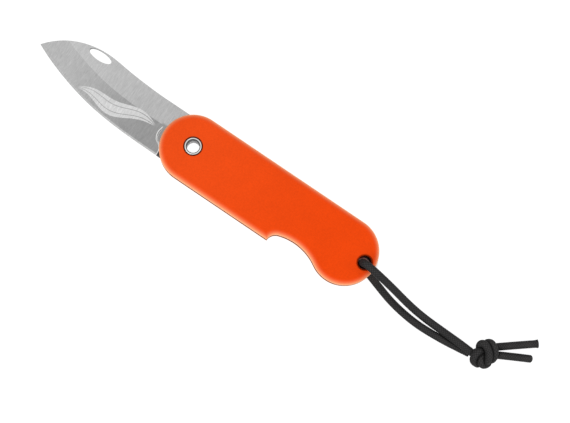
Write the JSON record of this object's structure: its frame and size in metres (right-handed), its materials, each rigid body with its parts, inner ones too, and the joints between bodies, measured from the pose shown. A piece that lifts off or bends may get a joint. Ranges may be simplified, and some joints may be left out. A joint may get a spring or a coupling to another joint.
{
  "type": "folding rigging knife",
  "caption": "Folding rigging knife with a sheepsfoot blade, laminated scales, a hollow pivot, a finger notch and a knotted loop of elastic cord.",
  "frame": {"origin": "on the pivot axis, at the middle of the blade's thickness", "axes": "+X from the pivot to the butt of the handle, +Y to the back of the handle, +Z out of the front scale; the open blade points to -X"},
  "size_m": [0.2266, 0.0276, 0.0178],
  "materials": {
    "scale_orange": "satin glass-fibre laminate, dyed orange",
    "spacer_orange": "satin glass-fibre laminate, dyed orange",
    "blade_steel": "satin ground stainless steel",
    "spring_steel": "ground stainless steel",
    "pivot_steel": "polished stainless steel",
    "bushing_brass": "turned bronze",
    "insert_brass": "turned brass",
    "pin_steel": "ground steel",
    "screw_steel": "stainless steel",
    "cord_black": "braided elastic cord"
  },
  "bodies": {
    "handle": {"front_scale": "scale_orange", "rear_scale": "scale_orange", "butt_spacer": "spacer_orange", "backspring": "spring_steel", "pivot_tube": "pivot_steel", "pivot_collar": "pivot_steel", "pivot_bushing": "bushing_brass", "front_washer": "bushing_brass", "rear_washer": "bushing_brass", "spring_pins": "pin_steel", "scale_screws": "screw_steel", "screw_inserts": "insert_brass", "lanyard_upper": "cord_black", "lanyard_lower": "cord_black", "lanyard_knot": "cord_black", "lanyard_tail_upper": "cord_black", "lanyard_tail_lower": "cord_black"},
    "folding_blade": {"blade": "blade_steel"}
  },
  "joints": [
    {"name": "blade_pivot", "type": "hinge", "parent": "handle", "child": "folding_blade", "pos_m": [0, 0, 0], "axis": [0, 0, 1], "range_deg": [0, 178], "deforming": ["backspring"]}
  ]
}
